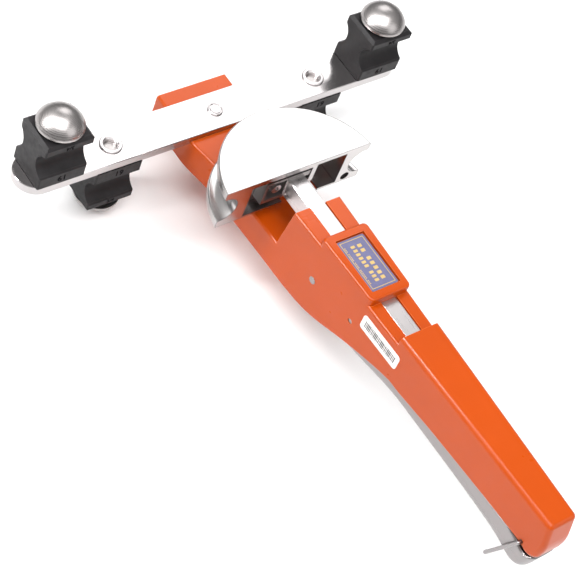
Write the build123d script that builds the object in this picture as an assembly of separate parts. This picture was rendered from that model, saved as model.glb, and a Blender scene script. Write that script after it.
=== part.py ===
"""Ratchet lever tube bender: a crossbow style hand bender with a squeeze lever.

Working axes while modelling: X runs along the crossbar, Y runs along the tool towards the crossbar,
Z is up, and the crossbar's top face is z = 0 with its centre bolt on the Z axis. Every solid is moved
to the row origin, the middle of the tool's footprint at its lowest point, when it is written out.
All sizes are in millimetres.
"""
import os
from math import atan2, cos, degrees, radians, sin, sqrt

from build123d import *

os.makedirs("parts", exist_ok=True)

# ---- Clearances ----
RUNNING_GAP = 0.08        # round shaft in a round hole, on the radius
SLIDE_GAP = 0.15          # flat sliding faces
FACE_GAP = 0.3            # faces of parts that turn past each other
LEVER_SIDE_GAP = 0.6      # squeeze lever to the walls of its slot
LEVER_TOP_GAP = 1.2       # squeeze lever's rim to the underside of the grip

# ---- Crossbar ----
BAR_LENGTH = 284.2
BAR_WIDTH = 27.0
BAR_THICKNESS = 6.0
BAR_BED_DEPTH = 2.0       # how deep the bar lies in the head
UPPER_PITCH = 119.3       # centre bolt to an upper guide block
LOWER_PITCH = 76.4        # centre bolt to a lower guide block

# ---- Centre bolt and nut ----
BOLT_RADIUS = 4.0
BOLT_HEAD_RADIUS = 4.95
BOLT_HEAD_HEIGHT = 1.2
BOLT_RING_INNER = 3.4       # shallow ring turned in the bolt's head
BOLT_RING_WIDTH = 0.6
BOLT_RING_DEPTH = 0.5
NUT_FLATS = 13.0
NUT_HEIGHT = 6.5
NUT_POCKET_RADIUS = 9.5
NUT_WASHER_THICKNESS = 1.5
NUT_SEAT_Z = -16.5

# ---- Bushes in the crossbar ----
STUD_RADIUS = 4.0
BUSH_WALL = 2.0
BUSH_FLANGE_RADIUS = 7.2
BUSH_FLANGE_THICKNESS = 1.2
BUSH_MOUTH_WIDEN = 1.1    # flared mouth of the bush, on the radius and in depth
STUD_END_DEPTH = 3.2      # stud's end below the bush's flange

# ---- Guide blocks and knobs ----
BLOCK_LENGTH = 32.4
BLOCK_DEPTH = 28.0
BLOCK_HEIGHT = 35.3
BLOCK_EDGE_CHAMFER = 1.9
BLOCK_CORNER_RADIUS = 1.2
LARGE_TUBE_DIAMETER = 22.2
MAIN_TUBE_DIAMETER = 19.0
TUBE_GAP = 0.3            # groove wall to tube, on the radius
MAIN_GROOVE_DEPTH = 7.6
LARGE_GROOVE_DEPTH = 5.4
GROOVE_LIP_CHAMFER = 0.9
KNOB_RADIUS = 14.6
KNOB_BAND_HEIGHT = 1.5
KNOB_DOME_HEIGHT = 9.5
KNOB_LIFT = 2.3           # knob rim above the block
KNOB_HUB_RADIUS = 8.0
KNOB_RECESS_RADIUS = 11.0
KNOB_RECESS_DEPTH = 2.2
KNOB_WASHER_RADIUS = 9.6
KNOB_WASHER_THICKNESS = 1.0

# ---- Bending former ----
FORMER_RIM_RADIUS = 53.8
FORMER_TOP_Z = 35.0
FORMER_HEIGHT = 31.4
FORMER_CENTRE_Y = -86.5   # centre of the bend arc with the rod drawn back
FORMER_BACK_OFFSET = 7.1  # flat rear face ahead of the arc's centre
FORMER_GROOVE_SINK = 1.6  # centre of the tube inside the rim
FORMER_EDGE_FILLET = 1.0
FORMER_TOP_PLATE = 4.0
FORMER_FLOOR_PLATE = 1.7
POCKET_LEFT_X = -33.8
POCKET_DEPTH = 8.0
RIGHT_POCKET_NEAR_X = 13.9
RIGHT_POCKET_FAR_X = 36.0
RIGHT_POCKET_DEPTH = 16.0
RIB_X = 26.5
RIB_RADIUS = 5.0
RIB_HEIGHT = 12.0
PEG_HOLE_X = 42.5
PEG_HOLE_Z = 8.2
PEG_HOLE_RADIUS = 3.0
PEG_HOLE_DEPTH = 10.0

# ---- Yoke on the rod's front end ----
YOKE_LEFT_X = -22.0
YOKE_RIGHT_X = 10.0
YOKE_BOTTOM_Z = 10.0
YOKE_TOP_Z = 28.5
YOKE_LENGTH = 17.5
YOKE_INSET = 0.5          # yoke's rear face ahead of the former's rear face
YOKE_SCREW_X = -12.2
YOKE_SCREW_HEAD_RADIUS = 3.4
YOKE_SCREW_RADIUS = 2.0
YOKE_SCREW_LENGTH = 8.0
YOKE_WINDOW_DEPTH = 5.0
DETENT_BALL_RADIUS = 1.6

# ---- Ratchet rod ----
ROD_WIDTH = 11.6
ROD_HEIGHT = 14.0
ROD_BACK_Y = -330.0
ROD_DROP = 0.7            # rod's top below the rails
ROD_EDGE_CHAMFER = 0.7
ROD_TRAVEL = 90.0
TOOTH_PITCH = 3.0
TOOTH_DEPTH = 1.6
RACK_START_Y = -122.0
RACK_END_Y = -308.0
STOP_PIN_RADIUS = 1.5
STOP_PIN_PROUD = 1.8      # stop pin's reach into the slot each side
STOP_PIN_FROM_END = 8.0

# ---- Body ----
HEAD_FRONT_Y = 25.5
HEAD_HALF_WIDTH = 26.0
HEAD_REAR_Y = -9.0
HEAD_UNDERSIDE_Z = -26.6
HEAD_BEVEL = 6.5
RAIL_TOP_Z = 26.7
RAIL_FRONT_Y = -101.5
RAIL_LEAD = 24.5          # open rails ahead of the frame boss
BOSS_LENGTH = 49.0
BOSS_RISE = 6.0
ROD_WINDOW_LENGTH = 28.0
GRIP_LENGTH = 139.5
GRIP_RISE = 6.8
NECK_TOP_Z = -6.8
SHOULDER_HALF_WIDTH = 16.9
TAIL_HALF_WIDTH = 10.2
NECK_EDGE_FILLET = 1.6
GRIP_EDGE_FILLET = 3.3
GRIP_TOE_RADIUS = 7.5
GRIP_END_CROWN = 25.0     # radius where the end face changes its slope
GRIP_CROWN_SINK = 0.232   # what that radius takes off the corner
LEVER_BACK_OFFSET = 1.5   # lever's end ahead of the grip's end
GRIP_END_WALL = 8.0

# ---- Plate and label ----
PLATE_HALF_WIDTH = 9.8
PLATE_LENGTH = 37.0
PLATE_THICKNESS = 1.0
PLATE_SINK = 1.2          # plate's face below the boss's top
PLATE_GAP = 0.7           # plate to the recess wall
LABEL_LENGTH = 34.0
LABEL_HEIGHT = 11.5
LABEL_THICKNESS = 0.25
LABEL_CENTRE_Y = -192.0
LABEL_CENTRE_Z = 14.8
LABEL_CORNER = 2.2

# ---- Squeeze lever and pawls ----
LEVER_HALF_WIDTH = 10.0
LEVER_SHEET = 1.5
LEVER_EDGE_FILLET = 5.0
LEVER_PIN_Y = -132.4
LEVER_PIN_Z = -0.9
LEVER_PIN_RADIUS = 2.5
LEVER_PIN_PROUD = 0.2
PAWL_HALF_WIDTH = 4.0
PAWL_HUB_RADIUS = 3.2
PAWL_TIP_GAP = 0.4        # pawl tip below the rack's crests
PAWL_PIN_RADIUS = 1.5
DRIVE_PAWL_BACK = 6.6     # drive pawl's pin behind the lever pin
DRIVE_PAWL_UP = 5.4
HOLD_PIN_Y = -167.9
HOLD_PIN_Z = 3.7
HOLD_PIN_RADIUS = 1.8
HOLD_PIN_SUNK = 0.5
SPRING_WIRE = 1.0
SPRING_PITCH = 1.5

# ---- Wire catch at the grip's end ----
CATCH_WIRE_RADIUS = 1.2
CATCH_MOUTH_RADIUS = 2.0  # widened mouth of the wire's hole in the grip
CATCH_MOUTH_DEPTH = 0.6
CATCH_Y = -329.3
CATCH_Z = 4.4
CATCH_REACH = 34.0
CATCH_ANGLE = 69.0        # how far the leg hangs below level, leaning towards the head
CATCH_LEG_X = 12.1
CATCH_FOOT_GAP = 0.5      # foot's end to the lever's flank
CATCH_HEAD_RADIUS = 1.8
CATCH_HEAD_THICKNESS = 0.8

# ---- Places that follow from the sizes above ----
BOSS_FRONT_Y = RAIL_FRONT_Y - RAIL_LEAD
BOSS_BACK_Y = BOSS_FRONT_Y - BOSS_LENGTH
GRIP_FRONT_Y = BOSS_BACK_Y - ROD_WINDOW_LENGTH
GRIP_BACK_Y = GRIP_FRONT_Y - GRIP_LENGTH
LEVER_BACK_Y = GRIP_BACK_Y + LEVER_BACK_OFFSET
BOSS_TOP_Z = RAIL_TOP_Z + BOSS_RISE
GRIP_TOP_Z = RAIL_TOP_Z + GRIP_RISE
ROD_TOP_Z = RAIL_TOP_Z - ROD_DROP
ROD_BOTTOM_Z = ROD_TOP_Z - ROD_HEIGHT
HEAD_TOP_Z = BAR_BED_DEPTH - BAR_THICKNESS
FORMER_BACK_Y = FORMER_CENTRE_Y + FORMER_BACK_OFFSET
FORMER_BOTTOM_Z = FORMER_TOP_Z - FORMER_HEIGHT
GROOVE_Z = (FORMER_TOP_Z + FORMER_BOTTOM_Z) / 2
BLOCK_TOP_Z = FACE_GAP + BLOCK_HEIGHT
KNOB_RIM_Z = BLOCK_TOP_Z + KNOB_LIFT
KNOB_TOP_Z = KNOB_RIM_Z + KNOB_BAND_HEIGHT + KNOB_DOME_HEIGHT
ROW_SHIFT = (0, -(HEAD_FRONT_Y + min(LEVER_BACK_Y, GRIP_BACK_Y)) / 2, BAR_THICKNESS + KNOB_TOP_Z)


def save(name, solid):
    """Write one piece, moved to the row origin."""
    placed = Pos(*ROW_SHIFT) * solid
    export_step(placed, os.path.join("parts", name + ".step"))


def block(x0, x1, y0, y1, z0, z1):
    """A box between two corners."""
    return Pos((x0 + x1) / 2, (y0 + y1) / 2, (z0 + z1) / 2) * Box(abs(x1 - x0), abs(y1 - y0), abs(z1 - z0))


def post(x, y, z0, z1, radius):
    """An upright cylinder from z0 to z1."""
    return Pos(x, y, (z0 + z1) / 2) * Cylinder(radius, z1 - z0)


def pin_across(y, z, radius, x0, x1):
    """A cylinder along X."""
    return Pos((x0 + x1) / 2, y, z) * Rot(0, 90, 0) * Cylinder(radius, x1 - x0)


def pin_along(x, z, radius, y0, y1):
    """A cylinder along Y."""
    return Pos(x, (y0 + y1) / 2, z) * Rot(90, 0, 0) * Cylinder(radius, y1 - y0)


def side_slab(face, half_width):
    """A side view outline in Y and Z, thickened both ways across X."""
    return extrude(Plane.YZ * face, amount=half_width, both=True)


def side_plate(points, half_width):
    """A straight-sided side view outline, thickened both ways across X."""
    return side_slab(make_face(Polyline(*points, close=True)), half_width)


def front_slab(points, y_back, depth):
    """An outline in X and Z, thickened from y_back towards the head."""
    face = make_face(Polyline(*[(x, y_back, z) for x, z in points], close=True))
    slab = extrude(face, amount=depth, dir=(0, 1, 0))
    return slab


def half_width_at(y):
    """Half the body's width at y, behind the shoulder."""
    share = (RAIL_FRONT_Y - y) / (RAIL_FRONT_Y - GRIP_BACK_Y)
    return SHOULDER_HALF_WIDTH + share * (TAIL_HALF_WIDTH - SHOULDER_HALF_WIDTH)


def coil(y, z, radius, x0, x1):
    """A wire coil round a cross pin, from x0 to x1."""
    path = Helix(pitch=SPRING_PITCH, height=x1 - x0 - SPRING_WIRE, radius=radius)
    section = Plane(origin=path @ 0, z_dir=path % 0) * Circle(SPRING_WIRE / 2)
    return Pos(x0 + SPRING_WIRE / 2, y, z) * Rot(0, 90, 0) * sweep(section, path=path)


# ---- Body casting ----
def plan_outline():
    """The body seen from above: square head, flared neck, evenly tapered rails and grip."""
    taper = (half_width_at(GRIP_BACK_Y) - half_width_at(RAIL_FRONT_Y)) / (RAIL_FRONT_Y - GRIP_BACK_Y)
    tail = GRIP_BACK_Y - 5
    neck = [(HEAD_HALF_WIDTH, HEAD_REAR_Y), (HEAD_HALF_WIDTH * 0.875, -30.0),
            (HEAD_HALF_WIDTH * 0.74, -60.0), (SHOULDER_HALF_WIDTH, RAIL_FRONT_Y)]
    edges = [Line((-HEAD_HALF_WIDTH, HEAD_FRONT_Y), (HEAD_HALF_WIDTH, HEAD_FRONT_Y)),
             Line((-half_width_at(tail), tail), (half_width_at(tail), tail))]
    for side in (1, -1):
        points = [(side * x, y) for x, y in neck]
        edges += [Line((side * HEAD_HALF_WIDTH, HEAD_FRONT_Y), points[0]),
                  Spline(*points, tangents=[(0, -1), (side * taper, -1)]),
                  Line(points[-1], (side * half_width_at(tail), tail))]
    return make_face(edges)


def belly_curve():
    """Underside of head, neck and belly, up to the grip."""
    points = [(HEAD_REAR_Y, HEAD_UNDERSIDE_Z), (-60.0, -28.4), (RAIL_FRONT_Y, -29.7), (-122.0, -29.2),
              (-136.0, -27.2), (-151.0, -22.4), (-168.0, -15.4), (-186.0, -9.1), (GRIP_FRONT_Y, -3.9),
              (GRIP_FRONT_Y - 15, -1.2)]
    return Spline(*points)


def grip_outline():
    """The grip seen from the side, with its toe and end face rounded."""
    toe = (GRIP_BACK_Y + 1.5, -2.4)
    crease = (GRIP_BACK_Y - GRIP_CROWN_SINK, 14.4)
    points = [(GRIP_FRONT_Y, GRIP_TOP_Z), (GRIP_FRONT_Y, -1.2), (GRIP_FRONT_Y - 15, -1.2),
              (GRIP_FRONT_Y - 45, 1.2), (GRIP_FRONT_Y - 95, 3.2), (GRIP_BACK_Y + 22, 3.6), toe, crease,
              (GRIP_BACK_Y + 4.0, GRIP_TOP_Z)]
    outline = make_face(Polyline(*points, close=True))
    for corner, radius in ((toe, GRIP_TOE_RADIUS), (crease, GRIP_END_CROWN)):
        outline = fillet(outline.vertices().sort_by_distance((*corner, 0))[0], radius)
    return outline


plan = extrude(Pos(0, 0, -60) * plan_outline(), amount=120)

belly = belly_curve()
front_lines = Polyline((HEAD_REAR_Y, HEAD_UNDERSIDE_Z), (HEAD_FRONT_Y - HEAD_BEVEL, HEAD_UNDERSIDE_Z),
                       (HEAD_FRONT_Y, HEAD_UNDERSIDE_Z + HEAD_BEVEL), (HEAD_FRONT_Y, HEAD_TOP_Z),
                       (-BAR_WIDTH / 2 - 1, HEAD_TOP_Z))
neck_top = Spline((-BAR_WIDTH / 2 - 1, HEAD_TOP_Z), (-40.0, -5.0), (-75.0, NECK_TOP_Z),
                  (RAIL_FRONT_Y + 3.5, NECK_TOP_Z), tangents=[(-1, 0), (-1, 0)])
rail_lines = Polyline((RAIL_FRONT_Y + 3.5, NECK_TOP_Z), (RAIL_FRONT_Y, RAIL_TOP_Z),
                      (GRIP_FRONT_Y - 15, RAIL_TOP_Z), (GRIP_FRONT_Y - 15, -1.2))
frame_side = make_face([*belly.edges(), *front_lines.edges(), *neck_top.edges(), *rail_lines.edges()])
frame = side_slab(frame_side, 60) & plan


def long_edges(solid, low_y, high_y):
    """Edges that run along the tool on its two sides, between two places."""
    found = []
    for edge in solid.edges():
        start, end, middle = edge @ 0, edge @ 1, edge @ 0.5
        along = abs(start.Y - end.Y) > max(2, abs(start.Z - end.Z))
        if along and abs(middle.X) > 6 and low_y < middle.Y < high_y:
            found.append(edge)
    return found


frame = fillet(long_edges(frame, GRIP_FRONT_Y - 20, HEAD_FRONT_Y), NECK_EDGE_FILLET)

boss = block(-60, 60, BOSS_BACK_Y, BOSS_FRONT_Y, ROD_TOP_Z - 4, BOSS_TOP_Z) & plan
boss = fillet(boss.edges().filter_by(Axis.Z), 3.0)
boss = fillet(boss.faces().sort_by(Axis.Z)[-1].edges(), 1.4)

grip = side_slab(grip_outline(), 60) & plan
grip_edges = [e for e in long_edges(grip, GRIP_BACK_Y, GRIP_FRONT_Y) if e.center().Z > GRIP_TOP_Z - 1]
grip_edges += [e for e in grip.edges() if abs((e @ 0.5).X) > 6 and (e @ 0.5).Y < GRIP_BACK_Y + 5
               and abs((e @ 0).Z - (e @ 1).Z) > 1]
grip_edges += [e for e in grip.edges().filter_by(Axis.X) if e.center().Z > GRIP_TOP_Z - 1
               and e.center().Y < GRIP_BACK_Y + 9]
grip = fillet(grip_edges, GRIP_EDGE_FILLET)

body = frame + boss + grip

# Bed for the crossbar, and the centre bolt's hole and nut pocket
body -= block(-BAR_LENGTH, BAR_LENGTH, -BAR_WIDTH / 2 - SLIDE_GAP, BAR_WIDTH / 2 + SLIDE_GAP,
              -BAR_THICKNESS, 0)
body -= post(0, 0, HEAD_UNDERSIDE_Z - 1, 0, BOLT_RADIUS)
body -= post(0, 0, HEAD_UNDERSIDE_Z - 1, NUT_SEAT_Z, NUT_POCKET_RADIUS)

# Tunnel for the rod: open above between the rails and behind the frame boss
channel_half = ROD_WIDTH / 2 + SLIDE_GAP
tunnel_bottom = ROD_BOTTOM_Z - SLIDE_GAP
tunnel_back = GRIP_BACK_Y + GRIP_END_WALL
body -= block(-channel_half, channel_half, tunnel_back, RAIL_FRONT_Y + 5, tunnel_bottom,
              ROD_TOP_Z + SLIDE_GAP)
body -= block(-channel_half, channel_half, BOSS_FRONT_Y, RAIL_FRONT_Y + 5, tunnel_bottom, BOSS_TOP_Z)
body -= block(-channel_half, channel_half, GRIP_FRONT_Y, BOSS_BACK_Y, tunnel_bottom, BOSS_TOP_Z)

# Side slots that stop the rod's cross pin at both ends of its travel
stop_pin_y = ROD_BACK_Y + STOP_PIN_FROM_END
stop_pin_z = (ROD_TOP_Z + ROD_BOTTOM_Z) / 2
stop_half = ROD_WIDTH / 2 + STOP_PIN_PROUD
body -= block(-stop_half - SLIDE_GAP, stop_half + SLIDE_GAP, stop_pin_y - STOP_PIN_RADIUS - FACE_GAP,
              stop_pin_y + ROD_TRAVEL + STOP_PIN_RADIUS + FACE_GAP,
              stop_pin_z - STOP_PIN_RADIUS - SLIDE_GAP, stop_pin_z + STOP_PIN_RADIUS + SLIDE_GAP)

# Slot for the squeeze lever and the pawls
lever_slot_half = LEVER_HALF_WIDTH + LEVER_SIDE_GAP
lever_slot_front = LEVER_PIN_Y + 13.0
lever_slot_back = GRIP_FRONT_Y - 2.0
body -= block(-lever_slot_half, lever_slot_half, lever_slot_back, lever_slot_front, -40, tunnel_bottom)

# Recess for the name plate
plate_centre_y = (BOSS_FRONT_Y + BOSS_BACK_Y) / 2
plate_seat_z = BOSS_TOP_Z - PLATE_SINK - PLATE_THICKNESS
recess_half = PLATE_HALF_WIDTH + PLATE_GAP
body -= block(-recess_half, recess_half, plate_centre_y - PLATE_LENGTH / 2 - PLATE_GAP,
              plate_centre_y + PLATE_LENGTH / 2 + PLATE_GAP, plate_seat_z, BOSS_TOP_Z + 1)

# Holes for the lever pin, the holding pawl's pin and the wire catch
body -= pin_across(LEVER_PIN_Y, LEVER_PIN_Z, LEVER_PIN_RADIUS, -30, 30)
body -= pin_across(HOLD_PIN_Y, HOLD_PIN_Z, HOLD_PIN_RADIUS, -30, 30)
body -= pin_across(CATCH_Y, CATCH_Z, CATCH_WIRE_RADIUS + RUNNING_GAP, -30, 30)
catch_mouth = half_width_at(CATCH_Y) - CATCH_MOUTH_DEPTH
body -= pin_across(CATCH_Y, CATCH_Z, CATCH_MOUTH_RADIUS, catch_mouth, 30)
body -= pin_across(CATCH_Y, CATCH_Z, CATCH_MOUTH_RADIUS, -30, -catch_mouth)
save("tool_body", body)

# ---- Name plate and side label ----
plate = block(-PLATE_HALF_WIDTH, PLATE_HALF_WIDTH, plate_centre_y - PLATE_LENGTH / 2,
              plate_centre_y + PLATE_LENGTH / 2, plate_seat_z, plate_seat_z + PLATE_THICKNESS)
save("name_plate", fillet(plate.edges().filter_by(Axis.Z), 1.2))

side_slope = (SHOULDER_HALF_WIDTH - TAIL_HALF_WIDTH) / (RAIL_FRONT_Y - GRIP_BACK_Y)
label = Box(LABEL_THICKNESS, LABEL_LENGTH, LABEL_HEIGHT)
label = fillet(label.edges().filter_by(Axis.X), LABEL_CORNER)
label_x = half_width_at(LABEL_CENTRE_Y) + LABEL_THICKNESS / 2 * sqrt(1 + side_slope ** 2)
label_turn = degrees(atan2(side_slope, 1))
save("side_label", Pos(-label_x, LABEL_CENTRE_Y, LABEL_CENTRE_Z) * Rot(0, 0, label_turn) * label)

# ---- Crossbar with its bolt, nut and bushes ----
bar = SlotOverall(BAR_LENGTH, BAR_WIDTH)
bar -= Circle(BOLT_RADIUS)
bush_outer = STUD_RADIUS + RUNNING_GAP + BUSH_WALL
guide_places = {}
for side_name, side in (("left", -1), ("right", 1)):
    guide_places["upper_" + side_name] = (side * UPPER_PITCH, 1)
    guide_places["lower_" + side_name] = (side * LOWER_PITCH, -1)
for x, up in guide_places.values():
    bar -= Pos(x, 0) * Circle(bush_outer)
crossbar = extrude(Pos(0, 0, -BAR_THICKNESS) * bar, amount=BAR_THICKNESS)
crossbar = chamfer(crossbar.faces().sort_by(Axis.Z)[-1].outer_wire().edges(), 0.4)
save("crossbar", crossbar)

bolt_end_z = NUT_SEAT_Z - NUT_WASHER_THICKNESS - NUT_HEIGHT - 1.0
bolt_head = fillet(post(0, 0, 0, BOLT_HEAD_HEIGHT, BOLT_HEAD_RADIUS).edges().sort_by(Axis.Z)[-1], 0.6)
ring_floor = BOLT_HEAD_HEIGHT - BOLT_RING_DEPTH
bolt_head -= (post(0, 0, ring_floor, BOLT_HEAD_HEIGHT, BOLT_RING_INNER + BOLT_RING_WIDTH)
              - post(0, 0, ring_floor, BOLT_HEAD_HEIGHT, BOLT_RING_INNER))
save("crossbar_bolt", bolt_head + post(0, 0, bolt_end_z, 0, BOLT_RADIUS))
washer_z = NUT_SEAT_Z - NUT_WASHER_THICKNESS
save("crossbar_nut_washer", post(0, 0, washer_z, NUT_SEAT_Z, NUT_POCKET_RADIUS - 0.7)
     - post(0, 0, washer_z, NUT_SEAT_Z, BOLT_RADIUS))
nut = extrude(Pos(0, 0, washer_z - NUT_HEIGHT) * RegularPolygon(NUT_FLATS / 2, 6, major_radius=False),
              amount=NUT_HEIGHT)
save("crossbar_nut", nut - post(0, 0, washer_z - NUT_HEIGHT, washer_z, BOLT_RADIUS))


def flipped(solid, up):
    """A guide piece as it stands on top of the bar, or turned over to hang below it."""
    return solid if up > 0 else Pos(0, 0, -BAR_THICKNESS) * Rot(180, 0, 0) * solid


def bush():
    """Swaged bush in the bar: its flange is on the face away from the guide block."""
    bottom = -BAR_THICKNESS - BUSH_FLANGE_THICKNESS
    flange = post(0, 0, bottom, -BAR_THICKNESS, BUSH_FLANGE_RADIUS)
    flange = fillet(flange.edges().sort_by(Axis.Z)[0], 0.7)
    sleeve = flange + post(0, 0, -BAR_THICKNESS, 0, bush_outer)
    sleeve -= post(0, 0, bottom, 0, STUD_RADIUS + RUNNING_GAP)
    mouth = [e for e in sleeve.edges().filter_by(GeomType.CIRCLE)
             if e.radius < bush_outer and e.center().Z < bottom + 0.1]
    return chamfer(mouth, BUSH_MOUTH_WIDEN)


def tube_groove(diameter, depth, side):
    """Cutter for a tube's seat along X, on the front or back face of a guide block."""
    radius = diameter / 2 + TUBE_GAP
    centre_y = side * (BLOCK_DEPTH / 2 + radius - depth)
    cutter = pin_across(centre_y, GROOVE_Z, radius, -BLOCK_LENGTH, BLOCK_LENGTH)
    half_mouth = sqrt(radius ** 2 - (radius - depth) ** 2)
    face_y = side * BLOCK_DEPTH / 2
    lip = GROOVE_LIP_CHAMFER
    mouth = [(face_y, GROOVE_Z - half_mouth - lip), (face_y, GROOVE_Z + half_mouth + lip),
             (face_y - side * lip, GROOVE_Z + half_mouth - 0.2),
             (face_y - side * lip, GROOVE_Z - half_mouth + 0.2)]
    return cutter + side_plate(mouth, BLOCK_LENGTH)


def guide_block():
    """Moulded guide block with a tube seat on two faces and a bore for the knob's stud."""
    solid = block(-BLOCK_LENGTH / 2, BLOCK_LENGTH / 2, -BLOCK_DEPTH / 2, BLOCK_DEPTH / 2,
                  FACE_GAP, BLOCK_TOP_Z)
    solid = chamfer(solid.faces().sort_by(Axis.Z)[-1].edges(), BLOCK_EDGE_CHAMFER)
    rounded = RectangleRounded(BLOCK_LENGTH, BLOCK_DEPTH, BLOCK_CORNER_RADIUS)
    solid &= extrude(Pos(0, 0, FACE_GAP) * rounded, amount=BLOCK_HEIGHT)
    solid -= tube_groove(MAIN_TUBE_DIAMETER, MAIN_GROOVE_DEPTH, -1)
    solid -= tube_groove(LARGE_TUBE_DIAMETER, LARGE_GROOVE_DEPTH, 1)
    solid -= post(0, 0, 0, BLOCK_TOP_Z, STUD_RADIUS + RUNNING_GAP)
    return solid - post(0, 0, BLOCK_TOP_Z - KNOB_RECESS_DEPTH, BLOCK_TOP_Z, KNOB_RECESS_RADIUS)


def knob():
    """Domed knob with a short hub and a stud that turns in the block and the bush."""
    hub_bottom = BLOCK_TOP_Z - KNOB_RECESS_DEPTH + KNOB_WASHER_THICKNESS + FACE_GAP
    band_top = KNOB_RIM_Z + KNOB_BAND_HEIGHT
    stud_bottom = -BAR_THICKNESS - BUSH_FLANGE_THICKNESS + STUD_END_DEPTH
    half = [Line((0, stud_bottom), (STUD_RADIUS, stud_bottom)),
            Line((STUD_RADIUS, stud_bottom), (STUD_RADIUS, hub_bottom)),
            Line((STUD_RADIUS, hub_bottom), (KNOB_HUB_RADIUS, hub_bottom)),
            Line((KNOB_HUB_RADIUS, hub_bottom), (KNOB_HUB_RADIUS, KNOB_RIM_Z)),
            Line((KNOB_HUB_RADIUS, KNOB_RIM_Z), (KNOB_RADIUS, KNOB_RIM_Z)),
            Line((KNOB_RADIUS, KNOB_RIM_Z), (KNOB_RADIUS, band_top))]
    sphere = (KNOB_RADIUS ** 2 + KNOB_DOME_HEIGHT ** 2) / (2 * KNOB_DOME_HEIGHT)
    shoulder = KNOB_RADIUS * 0.6
    shoulder_z = KNOB_TOP_Z - sphere + sqrt(sphere ** 2 - shoulder ** 2)
    half += [ThreePointArc((KNOB_RADIUS, band_top), (shoulder, shoulder_z), (0, KNOB_TOP_Z)),
             Line((0, KNOB_TOP_Z), (0, stud_bottom))]
    return revolve(Plane.XZ * make_face(half), Axis.Z)


block_solid = guide_block()
knob_solid = knob()
bush_solid = bush()
knob_washer = (post(0, 0, 0, KNOB_WASHER_THICKNESS, KNOB_WASHER_RADIUS)
               - post(0, 0, 0, KNOB_WASHER_THICKNESS, STUD_RADIUS + RUNNING_GAP))
knob_washer = Pos(0, 0, BLOCK_TOP_Z - KNOB_RECESS_DEPTH) * knob_washer
for place, (x, up) in guide_places.items():
    save("bush_" + place, Pos(x, 0, 0) * flipped(bush_solid, up))
    turned = block_solid if up > 0 else Rot(0, 0, 180) * block_solid
    save("guide_block_" + place, Pos(x, 0, 0) * flipped(turned, up))
    save("knob_washer_" + place, Pos(x, 0, 0) * flipped(knob_washer, up))
    save("knob_" + place, Pos(x, 0, 0) * flipped(knob_solid, up))

# ---- Bending former ----
groove_radius = MAIN_TUBE_DIAMETER / 2 + TUBE_GAP
groove_centre = FORMER_RIM_RADIUS - FORMER_GROOVE_SINK
section = make_face(Polyline((0, FORMER_BOTTOM_Z), (FORMER_RIM_RADIUS, FORMER_BOTTOM_Z),
                             (FORMER_RIM_RADIUS, FORMER_TOP_Z), (0, FORMER_TOP_Z), close=True))
section -= Pos(groove_centre, GROOVE_Z) * Circle(groove_radius)
section -= Pos(FORMER_RIM_RADIUS, GROOVE_Z) * Rectangle(2 * FORMER_GROOVE_SINK, 2 * groove_radius)
rim_points = [v for v in section.vertices() if v.X > FORMER_RIM_RADIUS - 0.01]
section = fillet(rim_points, FORMER_EDGE_FILLET)
disc = revolve(Plane.XZ * section, Axis.Z)
former = Pos(0, FORMER_CENTRE_Y, 0) * disc
former &= block(-FORMER_RIM_RADIUS, FORMER_RIM_RADIUS, FORMER_BACK_Y,
                FORMER_CENTRE_Y + FORMER_RIM_RADIUS + 1, FORMER_BOTTOM_Z - 1, FORMER_TOP_Z + 1)

pocket_top = FORMER_TOP_Z - FORMER_TOP_PLATE
pocket_floor = FORMER_BOTTOM_Z + FORMER_FLOOR_PLATE
yoke_front = FORMER_BACK_Y + YOKE_INSET + YOKE_LENGTH
former -= block(POCKET_LEFT_X, YOKE_RIGHT_X + FACE_GAP, FORMER_BACK_Y - 1, FORMER_BACK_Y + POCKET_DEPTH,
                pocket_floor, pocket_top)
former -= block(YOKE_LEFT_X - FACE_GAP, YOKE_RIGHT_X + FACE_GAP, FORMER_BACK_Y - 1, yoke_front + FACE_GAP,
                YOKE_BOTTOM_Z - FACE_GAP, YOKE_TOP_Z + FACE_GAP)
right_pocket = block(RIGHT_POCKET_NEAR_X, RIGHT_POCKET_FAR_X, FORMER_BACK_Y - 1,
                     FORMER_BACK_Y + RIGHT_POCKET_DEPTH, pocket_floor, pocket_top + 1)
right_pocket -= post(RIB_X, FORMER_BACK_Y + RIGHT_POCKET_DEPTH, pocket_top + 1 - RIB_HEIGHT,
                     pocket_top + 1, RIB_RADIUS)
former -= right_pocket
notch = [(YOKE_LEFT_X * 0.2, FORMER_BOTTOM_Z - 1), (RIGHT_POCKET_NEAR_X + 8.5, FORMER_BOTTOM_Z - 1),
         (RIGHT_POCKET_NEAR_X + 8.5, pocket_floor), (RIGHT_POCKET_NEAR_X, GROOVE_Z - 2),
         (YOKE_LEFT_X * 0.2, GROOVE_Z - 2)]
former -= front_slab(notch, FORMER_BACK_Y - 1, YOKE_LENGTH)
former -= pin_along(PEG_HOLE_X, PEG_HOLE_Z, PEG_HOLE_RADIUS, FORMER_BACK_Y - 1,
                    FORMER_BACK_Y + PEG_HOLE_DEPTH)
save("bending_former", former)

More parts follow.
